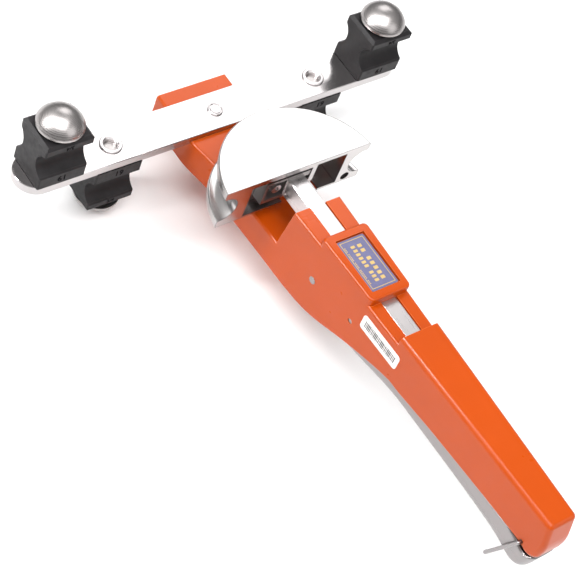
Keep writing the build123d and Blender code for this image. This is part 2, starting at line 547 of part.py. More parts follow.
# ---- Ratchet rod with its yoke ----
rod_half = ROD_WIDTH / 2
yoke_back = FORMER_BACK_Y + YOKE_INSET
rack = [(yoke_front, ROD_BOTTOM_Z), (yoke_front, ROD_TOP_Z), (ROD_BACK_Y, ROD_TOP_Z),
        (ROD_BACK_Y, ROD_BOTTOM_Z)]
for tooth in range(int((RACK_START_Y - RACK_END_Y) / TOOTH_PITCH)):
    tooth_y = RACK_END_Y + tooth * TOOTH_PITCH
    rack += [(tooth_y, ROD_BOTTOM_Z), (tooth_y + 0.2, ROD_BOTTOM_Z + TOOTH_DEPTH),
             (tooth_y + TOOTH_PITCH - 0.5, ROD_BOTTOM_Z)]
rod = side_plate(rack, rod_half)
rod_top_edges = [e for e in rod.edges().filter_by(Axis.Y) if e.center().Z > ROD_TOP_Z - 0.1]
rod = chamfer(rod_top_edges, ROD_EDGE_CHAMFER)
rod -= pin_across(stop_pin_y, stop_pin_z, STOP_PIN_RADIUS, -rod_half, rod_half)
save("ratchet_rod", rod)
save("rod_stop_pin", pin_across(stop_pin_y, stop_pin_z, STOP_PIN_RADIUS, -stop_half, stop_half))

yoke = block(YOKE_LEFT_X, YOKE_RIGHT_X, yoke_back, yoke_front, YOKE_BOTTOM_Z, YOKE_TOP_Z)
yoke -= block(-rod_half, rod_half, yoke_back, yoke_front, ROD_BOTTOM_Z, ROD_TOP_Z)
yoke -= block(rod_half, YOKE_RIGHT_X, yoke_back, yoke_front, YOKE_BOTTOM_Z, GROOVE_Z - 1.5)
window_floor = yoke_back + YOKE_WINDOW_DEPTH
yoke -= block(YOKE_LEFT_X + 1.6, -rod_half - 1.0, yoke_back, window_floor,
              YOKE_BOTTOM_Z + 2.6, YOKE_TOP_Z - 2)
yoke -= block(rod_half + 0.5, YOKE_RIGHT_X, yoke_back, yoke_back + 4, GROOVE_Z + 1.5, GROOVE_Z + 5.0)
yoke -= pin_along(YOKE_SCREW_X, GROOVE_Z, YOKE_SCREW_RADIUS, window_floor, window_floor + YOKE_SCREW_LENGTH)
ball_z = YOKE_TOP_Z - DETENT_BALL_RADIUS * 0.7
ball = Pos(YOKE_LEFT_X * 0.4, yoke_front - 6, ball_z - FACE_GAP) * Sphere(DETENT_BALL_RADIUS)
yoke -= ball
save("rod_yoke", yoke)
save("detent_ball", ball)
screw_head = pin_along(YOKE_SCREW_X, GROOVE_Z, YOKE_SCREW_HEAD_RADIUS, yoke_back + 0.8, window_floor)
screw_head -= pin_along(YOKE_SCREW_X, GROOVE_Z, 1.5, yoke_back, yoke_back + 2.6)
save("yoke_screw", screw_head + pin_along(YOKE_SCREW_X, GROOVE_Z, YOKE_SCREW_RADIUS, window_floor,
                                          window_floor + YOKE_SCREW_LENGTH))

# ---- Squeeze lever ----
lever_low = [(LEVER_PIN_Y + 7.5, -8.0), (LEVER_PIN_Y, -17.0), (LEVER_PIN_Y - 16, -22.2),
             (LEVER_PIN_Y - 38, -22.4), (LEVER_PIN_Y - 58, -18.9), (LEVER_PIN_Y - 78, -15.2),
             (LEVER_PIN_Y - 100, -14.1), (LEVER_PIN_Y - 168, -14.1), (LEVER_PIN_Y - 188, -16.4)]
# The lever's end: place from LEVER_BACK_Y, height, and the direction of its inner side
lever_toe = [(12.0, -18.0, 0.0, 1.0), (6.0, -15.9, 0.55, 0.83), (2.2, -9.5, 0.93, 0.35),
             (0.0, 0.8, 1.0, 0.0)]
hub_top = LEVER_PIN_Z + 8.5
lever_rim = [(LEVER_BACK_Y + LEVER_SHEET, 0.8), (GRIP_BACK_Y + 7, -0.7 - LEVER_TOP_GAP),
             (GRIP_BACK_Y + 10, -0.8 - LEVER_TOP_GAP), (GRIP_BACK_Y + 17, 1.6 - LEVER_TOP_GAP),
             (GRIP_BACK_Y + 24, 3.4 - LEVER_TOP_GAP), (GRIP_FRONT_Y - 95, 3.0 - LEVER_TOP_GAP),
             (GRIP_FRONT_Y - 45, 1.0 - LEVER_TOP_GAP), (GRIP_FRONT_Y - 15, -1.9 - LEVER_TOP_GAP),
             (GRIP_FRONT_Y + 4, -5.4 - LEVER_TOP_GAP), (HOLD_PIN_Y - 6, -1.4), (HOLD_PIN_Y + 8, 0.4),
             (LEVER_PIN_Y - 15, hub_top), (LEVER_PIN_Y + 4, hub_top), (LEVER_PIN_Y + 7.5, LEVER_PIN_Z + 3)]
outer_low = lever_low + [(LEVER_BACK_Y + y, z) for y, z, _, _ in lever_toe]
rim_lines = Polyline(outer_low[-1], *lever_rim, outer_low[0])
lever_face = make_face([*Spline(*outer_low).edges(), *rim_lines.edges()])
lever = side_slab(lever_face, LEVER_HALF_WIDTH)
lever = fillet(lever.edges().filter_by(GeomType.BSPLINE), LEVER_EDGE_FILLET)
inner_half = LEVER_HALF_WIDTH - LEVER_SHEET
for narrowing, lift in ((0.0, LEVER_EDGE_FILLET), (1.0, LEVER_SHEET + 1.1), (3.0, LEVER_SHEET)):
    floor = [(LEVER_PIN_Y + 5, -8.0), *[(y, z + lift) for y, z in lever_low[1:]],
             *[(LEVER_BACK_Y + y + lift * inward_y, z + lift * inward_z)
               for y, z, inward_y, inward_z in lever_toe]]
    trough = make_face([*Spline(*floor).edges(),
                        *Polyline(floor[-1], (floor[-1][0], 20), (floor[0][0], 20), floor[0]).edges()])
    lever -= side_slab(trough, inner_half - narrowing)
drive_y = LEVER_PIN_Y - DRIVE_PAWL_BACK
drive_z = LEVER_PIN_Z + DRIVE_PAWL_UP
lever -= pin_across(LEVER_PIN_Y, LEVER_PIN_Z, LEVER_PIN_RADIUS + RUNNING_GAP, -30, 30)
lever -= pin_across(drive_y, drive_z, PAWL_PIN_RADIUS, -30, 30)
save("squeeze_lever", lever)
pin_reach = half_width_at(LEVER_PIN_Y) + LEVER_PIN_PROUD
save("lever_pivot_pin", pin_across(LEVER_PIN_Y, LEVER_PIN_Z, LEVER_PIN_RADIUS, -pin_reach, pin_reach))
save("drive_pawl_pin", pin_across(drive_y, drive_z, PAWL_PIN_RADIUS, -LEVER_HALF_WIDTH, LEVER_HALF_WIDTH))
hold_reach = half_width_at(HOLD_PIN_Y) - HOLD_PIN_SUNK
save("holding_pawl_pin", pin_across(HOLD_PIN_Y, HOLD_PIN_Z, HOLD_PIN_RADIUS, -hold_reach, hold_reach))


def pawl(y, z, bore, nose_length):
    """Pawl that leans up and forward from its pin, to just under the rack."""
    nose_z = ROD_BOTTOM_Z - PAWL_TIP_GAP
    body_points = [(y - 2.4, z + 2.2), (y + nose_length - 2.0, nose_z), (y + nose_length, nose_z),
                   (y + nose_length, nose_z - 2.0), (y + 1.8, z - 2.5)]
    solid = side_plate(body_points, PAWL_HALF_WIDTH)
    solid += pin_across(y, z, PAWL_HUB_RADIUS, -PAWL_HALF_WIDTH, PAWL_HALF_WIDTH)
    return solid - pin_across(y, z, bore, -PAWL_HALF_WIDTH, PAWL_HALF_WIDTH)


save("drive_pawl", pawl(drive_y, drive_z, PAWL_PIN_RADIUS + RUNNING_GAP, 9.2))
save("holding_pawl", pawl(HOLD_PIN_Y, HOLD_PIN_Z, HOLD_PIN_RADIUS + RUNNING_GAP, 9.5))

# ---- Springs round the pins ----
spring_end = LEVER_HALF_WIDTH - LEVER_SHEET - FACE_GAP
save("lever_spring", coil(LEVER_PIN_Y, LEVER_PIN_Z, LEVER_PIN_RADIUS + SPRING_WIRE + 0.4,
                          -spring_end, spring_end))
save("drive_pawl_spring", coil(drive_y, drive_z, PAWL_PIN_RADIUS + SPRING_WIRE / 2 + 0.2,
                               PAWL_HALF_WIDTH + FACE_GAP, spring_end))
save("holding_pawl_spring", coil(HOLD_PIN_Y, HOLD_PIN_Z, HOLD_PIN_RADIUS + SPRING_WIRE / 2 + 0.2,
                                 PAWL_HALF_WIDTH + FACE_GAP, spring_end))

# ---- Wire catch ----
foot_y = CATCH_Y + CATCH_REACH * cos(radians(CATCH_ANGLE))
foot_z = CATCH_Z - CATCH_REACH * sin(radians(CATCH_ANGLE))
foot_end = LEVER_HALF_WIDTH + CATCH_FOOT_GAP
catch = pin_across(CATCH_Y, CATCH_Z, CATCH_WIRE_RADIUS, -CATCH_LEG_X, CATCH_LEG_X)
leg = Cylinder(CATCH_WIRE_RADIUS, CATCH_REACH)
leg_place = Pos(-CATCH_LEG_X, (CATCH_Y + foot_y) / 2, (CATCH_Z + foot_z) / 2)
catch += leg_place * Rot(90 - CATCH_ANGLE, 0, 0) * leg
catch += Pos(-CATCH_LEG_X, CATCH_Y, CATCH_Z) * Sphere(CATCH_WIRE_RADIUS)
catch += Pos(-CATCH_LEG_X, foot_y, foot_z) * Sphere(CATCH_WIRE_RADIUS)
catch += pin_across(foot_y, foot_z, CATCH_WIRE_RADIUS, -CATCH_LEG_X, -foot_end)
catch += pin_across(CATCH_Y, CATCH_Z, CATCH_HEAD_RADIUS, CATCH_LEG_X, CATCH_LEG_X + CATCH_HEAD_THICKNESS)
save("wire_catch", catch)
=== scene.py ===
"""Ratchet tube bender: finishes, size marks, plate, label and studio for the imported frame."""
import math
import bmesh
import bpy
from bpy.props import FloatProperty, FloatVectorProperty, IntProperty, PointerProperty
from bpy.types import Operator, Panel, PropertyGroup
from mathutils import Matrix, Vector


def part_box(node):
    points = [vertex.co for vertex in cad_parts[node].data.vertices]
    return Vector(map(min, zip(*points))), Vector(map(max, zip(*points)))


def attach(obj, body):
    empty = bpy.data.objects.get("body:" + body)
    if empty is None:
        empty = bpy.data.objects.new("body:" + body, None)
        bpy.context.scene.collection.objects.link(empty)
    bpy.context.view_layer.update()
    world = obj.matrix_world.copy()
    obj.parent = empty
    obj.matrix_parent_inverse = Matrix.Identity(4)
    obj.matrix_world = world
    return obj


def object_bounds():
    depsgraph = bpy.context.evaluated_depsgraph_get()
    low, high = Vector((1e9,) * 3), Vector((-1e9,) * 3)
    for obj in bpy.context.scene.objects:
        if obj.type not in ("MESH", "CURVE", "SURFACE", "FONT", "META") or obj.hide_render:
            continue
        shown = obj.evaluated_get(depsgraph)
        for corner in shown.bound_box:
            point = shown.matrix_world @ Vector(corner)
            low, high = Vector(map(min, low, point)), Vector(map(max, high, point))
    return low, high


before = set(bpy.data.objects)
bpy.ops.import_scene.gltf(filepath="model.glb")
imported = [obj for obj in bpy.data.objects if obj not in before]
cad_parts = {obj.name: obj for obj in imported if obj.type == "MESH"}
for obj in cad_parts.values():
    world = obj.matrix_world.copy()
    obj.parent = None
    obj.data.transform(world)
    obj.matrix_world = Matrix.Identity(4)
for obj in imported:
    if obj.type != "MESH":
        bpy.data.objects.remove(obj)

CAD_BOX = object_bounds()

bl_info = {
    "name": "Ratchet tube bender",
    "version": (1, 0, 0),
    "blender": (4, 5, 0),
    "location": "View3D > Sidebar > Tube Bender",
    "description": "Finishes and details for a ratchet lever tube bender",
    "category": "Object",
}

PLACES = ("upper_left", "upper_right", "lower_left", "lower_right")

QUARTER_TURN = math.radians(90)
HALF_TURN = math.radians(180)

# Guide blocks, in metres: from a block's outer face to the middle of the numbers on its lips.
NARROW_LIP = 0.0040
WIDE_LIP = 0.0046
TYPE_SCALE = 1.38           # type size over the height of its figures
WELD = 0.00001

# Name plate: place of each row across the plate, its bar height over the full height, and its groups.
PLATE_ROWS = ((0.36, 1, (2, 5)), (0.60, 1, (6, 3)), (0.87, 0.25, (3, 5, 4, 6, 3)))
PLATE_REACH = 0.80          # length of a row over the length inside the border
GROUP_GAP = 0.7             # gap between groups, in bar spacings
BAR_FILL = 0.62             # a bar's length over its spacing

# Side label
LABEL_FILM = 0.00025        # thickness of the film, in metres
TICK_WIDTHS = (0.62, 0.35, 0.50)
TICK_CORNER = 0.00008

# Studio, in metres
FLOOR_HALF = 6
SENSOR_WIDTH = 36           # millimetres


# ---- Sizes and colours ----
def colour_value(name, description, default):
    return FloatVectorProperty(name=name, description=description, subtype="COLOR", size=3, min=0, max=1,
                               default=default)


def length_value(name, description, default):
    return FloatProperty(name=name, description=description, subtype="DISTANCE", unit="LENGTH", min=0,
                         default=default)


class BENDER_PG_colours(PropertyGroup):
    """Paint, plastic, plate and metal colours."""

    orange: colour_value("Body paint", "Enamel on the body casting", (0.485, 0.062, 0.0012))
    plastic: colour_value("Guide plastic", "Moulded guide blocks", (0.015, 0.0135, 0.0145))
    numerals: colour_value("Numerals", "Raised size numbers on the guide blocks", (0.006, 0.005, 0.006))
    chrome: colour_value("Polished steel", "Crossbar and rod", (0.50, 0.475, 0.475))
    alloy: colour_value("Polished alloy", "Bending former", (0.55, 0.53, 0.525))
    steel: colour_value("Satin steel", "Squeeze lever", (0.31, 0.292, 0.292))
    knob: colour_value("Turned steel", "Domed knobs", (0.40, 0.376, 0.370))
    dark: colour_value("Oiled steel", "Yoke and pawls", (0.30, 0.285, 0.28))
    plate: colour_value("Plate", "Name plate ground", (0.125, 0.125, 0.24))
    gilt: colour_value("Plate print", "Border and bars on the name plate", (0.60, 0.42, 0.16))
    label: colour_value("Label film", "Side label ground", (0.84, 0.81, 0.79))
    ink: colour_value("Label ink", "Bars on the side label", (0.03, 0.028, 0.03))


class BENDER_PG_marks(PropertyGroup):
    """Sizes of the raised numbers and of the print on the plate and the label."""

    numeral_small: length_value("Small numeral", "Height of the numbers on the narrow lip", 0.0031)
    numeral_large: length_value("Large numeral", "Height of the numbers on the wide lip", 0.0046)
    numeral_raise: length_value("Numeral raise", "How far the numbers stand off the plastic", 0.00018)
    border_inset: length_value("Border inset", "Plate edge to the printed border", 0.0013)
    border_width: length_value("Border width", "Width of the printed border", 0.0004)
    print_raise: length_value("Print raise", "Thickness of the print", 0.00006)
    bar_height: length_value("Bar height", "Height of the bars on the plate", 0.0029)
    tick_height: length_value("Tick height", "Height of the bars on the label", 0.0052)
    tick_pitch: length_value("Tick pitch", "Spacing of the bars on the label", 0.00105)
    tick_count: IntProperty(name="Ticks", description="How many bars the label carries", default=27, min=3)


class BENDER_PG_stage(PropertyGroup):
    """Camera, lights and floor."""

    camera_place: FloatVectorProperty(name="Camera place", description="Where the camera stands",
                                      subtype="TRANSLATION", unit="LENGTH", size=3,
                                      default=(-0.60428, -0.38170, 0.90399))
    camera_aim: FloatVectorProperty(name="Camera aim", description="Point at the middle of the view",
                                    subtype="TRANSLATION", unit="LENGTH", size=3,
                                    default=(-0.05163, 0.01406, 0.08154))
    camera_roll: FloatProperty(name="Camera roll", description="Tilt of the camera about its line of sight",
                               subtype="ANGLE", unit="ROTATION", default=math.radians(25.19))
    lens: FloatProperty(name="Lens", description="Focal length on a 36 mm wide sensor, in millimetres",
                        default=118.46, min=20, max=300)
    sky: FloatProperty(name="Room light", description="Brightness of the white room", default=0.38, min=0)


# ---- Finishes ----
class Shading:
    """A material's node tree with short calls for the nodes that the finishes share."""

    def __init__(self, name):
        self.material = bpy.data.materials.new(name)
        self.material.use_nodes = True
        self.tree = self.material.node_tree
        self.shader = self.tree.nodes["Principled BSDF"]
        self.place = self.node("ShaderNodeTexCoord").outputs["Object"]

    def node(self, kind, **values):
        made = self.tree.nodes.new(kind)
        for key, value in values.items():
            setattr(made, key, value)
        return made

    def link(self, start, end):
        self.tree.links.new(start, end)

    def set(self, **values):
        for key, value in values.items():
            socket = self.shader.inputs[key.replace("_", " ")]
            is_colour = isinstance(value, (tuple, list)) and len(value) == 3
            socket.default_value = (*value, 1) if is_colour else value
        return self

    def mapped(self, scale=(1, 1, 1), centre=(0, 0, 0)):
        """Object coordinates measured from a centre and stretched along the axes."""
        shift = self.node("ShaderNodeMapping", vector_type="POINT")
        shift.inputs["Location"].default_value = [-c * s for c, s in zip(centre, scale)]
        shift.inputs["Scale"].default_value = scale
        self.link(self.place, shift.inputs["Vector"])
        return shift.outputs["Vector"]

    def noise(self, scale, detail=3.0, roughness=0.55, vector=None):
        grain = self.node("ShaderNodeTexNoise")
        grain.inputs["Scale"].default_value = scale
        grain.inputs["Detail"].default_value = detail
        grain.inputs["Roughness"].default_value = roughness
        self.link(vector or self.place, grain.inputs["Vector"])
        return grain.outputs["Fac"]

    def rings(self, centre, scale):
        """Fine turning marks round an upright axis through centre."""
        wave = self.node("ShaderNodeTexWave", wave_type="RINGS", rings_direction="Z")
        for name, number in (("Scale", scale), ("Distortion", 2.5), ("Detail", 3.0), ("Detail Scale", 2.0)):
            wave.inputs[name].default_value = number
        self.link(self.mapped(centre=centre), wave.inputs["Vector"])
        return wave.outputs["Fac"]

    def range(self, value, low, high, from_low=0.3, from_high=0.7):
        fitted = self.node("ShaderNodeMapRange")
        for name, number in (("From Min", from_low), ("From Max", from_high),
                             ("To Min", low), ("To Max", high)):
            fitted.inputs[name].default_value = number
        self.link(value, fitted.inputs["Value"])
        return fitted.outputs["Result"]

    def edges(self, radius):
        """1 along the piece's corners, 0 on its faces."""
        round_off = self.node("ShaderNodeBevel", samples=6)
        round_off.inputs["Radius"].default_value = radius
        facing = self.node("ShaderNodeNewGeometry")
        match = self.node("ShaderNodeVectorMath", operation="DOT_PRODUCT")
        self.link(round_off.outputs["Normal"], match.inputs[0])
        self.link(facing.outputs["Normal"], match.inputs[1])
        return self.range(match.outputs["Value"], 1, 0, 0.86, 0.995)

    def shades(self, value, dark, light):
        mix = self.node("ShaderNodeMix", data_type="RGBA")
        mix.inputs["A"].default_value = (*dark, 1)
        mix.inputs["B"].default_value = (*light, 1)
        self.link(value, mix.inputs["Factor"])
        return mix.outputs["Result"]

    def over(self, value, below, colour):
        """Lays a colour over another output where value is 1."""
        mix = self.node("ShaderNodeMix", data_type="RGBA")
        self.link(value, mix.inputs["Factor"])
        self.link(below, mix.inputs["A"])
        mix.inputs["B"].default_value = (*colour, 1)
        return mix.outputs["Result"]

    def base(self, output):
        self.link(output, self.shader.inputs["Base Color"])

    def rough(self, output):
        self.link(output, self.shader.inputs["Roughness"])

    def bump(self, height, strength, distance, rolled=0.0):
        bump = self.node("ShaderNodeBump")
        if rolled:
            roll = self.node("ShaderNodeBevel", samples=8)
            roll.inputs["Radius"].default_value = rolled
            self.link(roll.outputs["Normal"], bump.inputs["Normal"])
        bump.inputs["Strength"].default_value = strength
        bump.inputs["Distance"].default_value = distance
        self.link(height, bump.inputs["Height"])
        self.link(bump.outputs["Normal"], self.shader.inputs["Normal"])


def tint(colour, factor):
    return tuple(min(1.0, c * factor) for c in colour)


def orange_paint(colours):
    """Glossy enamel over a casting: slight orange peel, cloudy colour, and a painted highlight that makes the
    corners paler.
    """
    s = Shading("orange_paint").set(Metallic=0.0, Specular_IOR_Level=0.12, Coat_Weight=0.32,
                                    Coat_Roughness=0.07)
    cloud = s.range(s.noise(16, 4), 0, 1)
    ground = s.shades(cloud, tint(colours.orange, 0.94), tint(colours.orange, 1.04))
    # Painted highlight: the corners mix towards a paler orange.
    edge_highlight = tuple(0.6 * c + 0.4 * highlight_tone for c, highlight_tone in zip(colours.orange, (0.95, 0.30, 0.10)))
    s.base(s.over(s.edges(0.0006), ground, edge_highlight))
    s.rough(s.range(s.noise(55, 3), 0.27, 0.38))
    s.bump(s.noise(700, 2), 0.10, 0.0002)
    return s.material


def worked_metal(name, colour, roughness, scratch, cloud=0.06, corner_shade=0.55, corner_shade_width=0.00045, rolled=0.0,
                 grain=1.0):
    """Metal with fine lines from polishing or drawing, painted shade that darkens the corners, and rolled
    edges where given.
    """
    s = Shading(name).set(Metallic=1.0)
    lines = s.noise(1.0, 4, 0.6, s.mapped(scratch))
    patch = s.range(s.noise(14, 3), 0, 1)
    ground = s.shades(patch, tint(colour, 1 - cloud), tint(colour, 1 + cloud / 2))
    # Painted shade: a darker copy of the colour over the corners, standing in for their dark reflections.
    s.base(s.over(s.edges(corner_shade_width), ground, tint(colour, corner_shade)) if corner_shade < 1 else ground)
    s.rough(s.range(lines, roughness * (1 - 0.22 * grain), roughness * (1 + 0.28 * grain)))
    s.bump(lines, 0.08 * grain, 0.00008, rolled)
    return s.material


def turned_metal(name, colour, centre):
    """Dome turned on a lathe: fine rings round its own axis."""
    s = Shading(name).set(Metallic=1.0, Anisotropic=0.35)
    rings = s.rings(centre, 420)
    patch = s.range(s.noise(70, 4), 0, 1)
    s.base(s.shades(patch, tint(colour, 0.9), tint(colour, 1.06)))
    s.rough(s.range(rings, 0.27, 0.38, 0, 1))
    s.bump(rings, 0.04, 0.00005)
    return s.material


def moulded_plastic(colours):
    """Glass-filled guide plastic: fine matt texture, with a painted highlight that makes its corners paler.
    """
    s = Shading("black_plastic").set(Metallic=0.0, Specular_IOR_Level=0.2)
    mottle = s.range(s.noise(120, 4), 0, 1)
    ground = s.shades(mottle, tint(colours.plastic, 0.85), tint(colours.plastic, 1.3))
    # Painted highlight: the corners take a paler copy of the plastic colour.
    s.base(s.over(s.edges(0.0005), ground, tint(colours.plastic, 2.2)))
    s.rough(s.range(s.noise(300, 3), 0.40, 0.54))
    s.bump(s.noise(1500, 2), 0.16, 0.0001)
    return s.material


def printed(name, colour, roughness=0.4, metallic=0.0, wear=0.12, specular=0.5):
    """Printed or painted film with slightly uneven density."""
    s = Shading(name).set(Metallic=metallic, Specular_IOR_Level=specular)
    s.base(s.shades(s.range(s.noise(260, 4), 0, 1), tint(colour, 1 - wear), tint(colour, 1 + wear / 2)))
    s.rough(s.range(s.noise(90, 3), roughness * 0.85, roughness * 1.2))
    return s.material


def finish_for(node, material):
    """Gives a frame node its finish."""
    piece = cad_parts[node]
    piece.data.materials.clear()
    piece.data.materials.append(material)
    return piece


def settings():
    scene = bpy.context.scene
    return scene.bender_colours, scene.bender_marks, scene.bender_stage


# ---- Added pieces ----
def add_piece(name, mesh, material, body):
    """Puts a finished bmesh into the scene as a piece that rides on a body."""
    bmesh.ops.recalc_face_normals(mesh, faces=mesh.faces)
    data = bpy.data.meshes.new(name)
    mesh.to_mesh(data)
    mesh.free()
    data.materials.append(material)
    piece = bpy.data.objects.new(name, data)
    bpy.context.scene.collection.objects.link(piece)
    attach(piece, body)
    return piece


def add_bar(mesh, place, size, corner):
    """A thin raised bar with rounded corners, lying in the turned plane that place gives."""
    made = bmesh.ops.create_cube(mesh, size=1, matrix=place @ Matrix.Diagonal((*size, 1)))
    upright = place.to_3x3() @ Vector((0, 0, 1))
    edges = {e for v in made["verts"] for e in v.link_edges
             if abs((e.verts[0].co - e.verts[1].co).normalized().dot(upright)) > 0.9}
    bmesh.ops.bevel(mesh, geom=list(edges), offset=corner, segments=3, profile=0.5, affect="EDGES",
                    material=-1)


def raised_number(text, height, thickness, place):
    """A number as a mesh, centred at place and standing off its face."""
    curve = bpy.data.curves.new("number", "FONT")
    curve.body = text
    curve.size = height * TYPE_SCALE
    curve.extrude = thickness
    curve.align_x = "CENTER"
    curve.align_y = "CENTER"
    curve.resolution_u = 3
    writing = bpy.data.objects.new("number", curve)
    shape = bpy.data.meshes.new_from_object(writing)
    bpy.data.objects.remove(writing)
    bpy.data.curves.remove(curve)
    shape.transform(place)
    return shape


class BENDER_OT_body(Operator):
    """Paint the body casting"""

    bl_idname = "bender.body"
    bl_label = "Body casting"

    def execute(self, context):
        colours, _, _ = settings()
        finish_for("tool_body", orange_paint(colours))
        return {"FINISHED"}


class BENDER_OT_crossbar(Operator):
    """Finish the crossbar, its bolt, nut and bushes"""

    bl_idname = "bender.crossbar"
    bl_label = "Crossbar"

    def execute(self, context):
        colours, _, _ = settings()
        # The crossbar and the bright steel parts get painted shade on their corners, the bolt parts more of
        # it.
        finish_for("crossbar", worked_metal("crossbar_steel", colours.chrome, 0.17, (25, 900, 900)))
        bright = worked_metal("bright_steel", tint(colours.chrome, 1.2), 0.33, (500, 500, 500), corner_shade=0.3)
        for node in ("crossbar_bolt", "crossbar_nut", "crossbar_nut_washer", "yoke_screw", "detent_ball"):
            finish_for(node, bright)
        for place in PLACES:
            finish_for("bush_" + place, bright)
            finish_for("knob_washer_" + place, bright)
        return {"FINISHED"}


class BENDER_OT_rod(Operator):
    """Finish the ratchet rod, yoke and pins"""

    bl_idname = "bender.rod"
    bl_label = "Ratchet rod"

    def execute(self, context):
        colours, _, _ = settings()
        # The rod gets painted shade on its corners. The yoke, pawls and pins get none.
        finish_for("ratchet_rod", worked_metal("rod_steel", tint(colours.chrome, 1.3), 0.30, (900, 20, 900)))
        dark = worked_metal("oiled_steel", colours.dark, 0.36, (200, 200, 200), corner_shade=1)
        for node in ("rod_yoke", "drive_pawl", "holding_pawl"):
            finish_for(node, dark)
        plain = worked_metal("pin_steel", tint(colours.chrome, 0.62), 0.3, (700, 200, 700), corner_shade=1)
        for node in ("rod_stop_pin", "lever_pivot_pin", "holding_pawl_pin", "drive_pawl_pin", "wire_catch",
                     "lever_spring", "drive_pawl_spring", "holding_pawl_spring"):
            finish_for(node, plain)
        return {"FINISHED"}


class BENDER_OT_former(Operator):
    """Finish the bending former"""

    bl_idname = "bender.former"
    bl_label = "Bending former"

    def execute(self, context):
        colours, _, _ = settings()
        # Strong painted shade along the former's corners, drawn as dark outlines.
        finish_for("bending_former",
                   worked_metal("former_alloy", colours.alloy, 0.24, (60, 1400, 1400), cloud=0.10,
                                corner_shade=0.2, corner_shade_width=0.0009, grain=0.4))
        return {"FINISHED"}


class BENDER_OT_guides(Operator):
    """Finish the guide blocks and raise the tube sizes on their lips"""

    bl_idname = "bender.guides"
    bl_label = "Guide blocks"

    def execute(self, context):
        colours, marks, _ = settings()
        plastic = moulded_plastic(colours)
        ink = printed("numeral_plastic", colours.numerals, 0.7, specular=0.04)
        for place in PLACES:
            node = "guide_block_" + place
            finish_for(node, plastic)
            low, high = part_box(node)
            hangs = place.startswith("lower")
            narrow = low.z + NARROW_LIP if hangs else high.z - NARROW_LIP
            wide = high.z - WIDE_LIP if hangs else low.z + WIDE_LIP
            middle = (low.x + high.x) / 2
            upright = Matrix.Rotation(QUARTER_TURN, 4, "X")
            tilt = Matrix.Identity(4) if hangs else Matrix.Rotation(HALF_TURN, 4, "Y")
            mesh = bmesh.new()
            for face_y, turn, sizes in ((low.y, Matrix.Identity(4), ("3/4", "19")),
                                        (high.y, Matrix.Rotation(HALF_TURN, 4, "Z"), ("7/8", "22"))):
                for height, z, text in ((marks.numeral_small, narrow, sizes[0]),
                                        (marks.numeral_large, wide, sizes[1])):
                    spot = Matrix.Translation((middle, face_y, z)) @ tilt @ turn @ upright
                    shape = raised_number(text, height, marks.numeral_raise, spot)
                    mesh.from_mesh(shape)
                    bpy.data.meshes.remove(shape)
            bmesh.ops.remove_doubles(mesh, verts=mesh.verts, dist=WELD)
            add_piece("numbers_" + place, mesh, ink, "guide_" + place)
        return {"FINISHED"}


class BENDER_OT_knobs(Operator):
    """Finish the domed knobs"""

    bl_idname = "bender.knobs"
    bl_label = "Domed knobs"

    def execute(self, context):
        colours, _, _ = settings()
        for place in PLACES:
            low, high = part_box("knob_" + place)
            finish_for("knob_" + place, turned_metal("turned_steel_" + place, colours.knob, (low + high) / 2))
        return {"FINISHED"}


class BENDER_OT_lever(Operator):
    """Finish the squeeze lever"""

    bl_idname = "bender.lever"
    bl_label = "Squeeze lever"

    def execute(self, context):
        colours, _, _ = settings()
        # Wide painted shade along the lever's corners makes the flat strip look rounded.
        finish_for("squeeze_lever",
                   worked_metal("lever_steel", colours.steel, 0.30, (900, 18, 900), corner_shade=0.5, corner_shade_width=0.0016,
                                rolled=0.003, grain=0.6))
        return {"FINISHED"}


class BENDER_OT_plate(Operator):
    """Finish the name plate and print its border and plain bars"""

    bl_idname = "bender.plate"
    bl_label = "Name plate"

    def execute(self, context):
        colours, marks, _ = settings()
        finish_for("name_plate", printed("blue_plate", colours.plate, 0.34))
        gilt = printed("gilt_print", colours.gilt, 0.38, 0.3)
        low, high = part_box("name_plate")
        middle = (low + high) / 2
        width, length = high.x - low.x, high.y - low.y

        border = bmesh.new()
        half = Matrix.Diagonal((width / 2 - marks.border_inset, length / 2 - marks.border_inset, 1, 1))
        bmesh.ops.create_grid(border, x_segments=1, y_segments=1, size=1,
                              matrix=Matrix.Translation((middle.x, middle.y, high.z)) @ half)
        inner = bmesh.ops.inset_region(border, faces=border.faces[:], thickness=marks.border_width,
                                       use_even_offset=True, use_boundary=True)
        rim = set(inner["faces"])
        bmesh.ops.delete(border, geom=[f for f in border.faces if f not in rim], context="FACES")
        raised = bmesh.ops.extrude_face_region(border, geom=border.faces[:])
        bmesh.ops.translate(border, vec=(0, 0, marks.print_raise),
                            verts=[v for v in raised["geom"] if isinstance(v, bmesh.types.BMVert)])
        add_piece("plate_border", border, gilt, "tool_frame")

        bars = bmesh.new()
        reach = PLATE_REACH * (length - 2 * marks.border_inset)
        for across, share, groups in PLATE_ROWS:
            height = marks.bar_height * share
            unit = reach / (sum(groups) + GROUP_GAP * (len(groups) - 1))
            y = middle.y + reach / 2
            for group in groups:
                for _ in range(group):
                    spot = Matrix.Translation((high.x - width * across, y - unit / 2, high.z))
                    add_bar(bars, spot, (height, BAR_FILL * unit, 2 * marks.print_raise), 0.12 * height)
                    y -= unit
                y -= GROUP_GAP * unit
        add_piece("plate_bars", bars, gilt, "tool_frame")
        return {"FINISHED"}


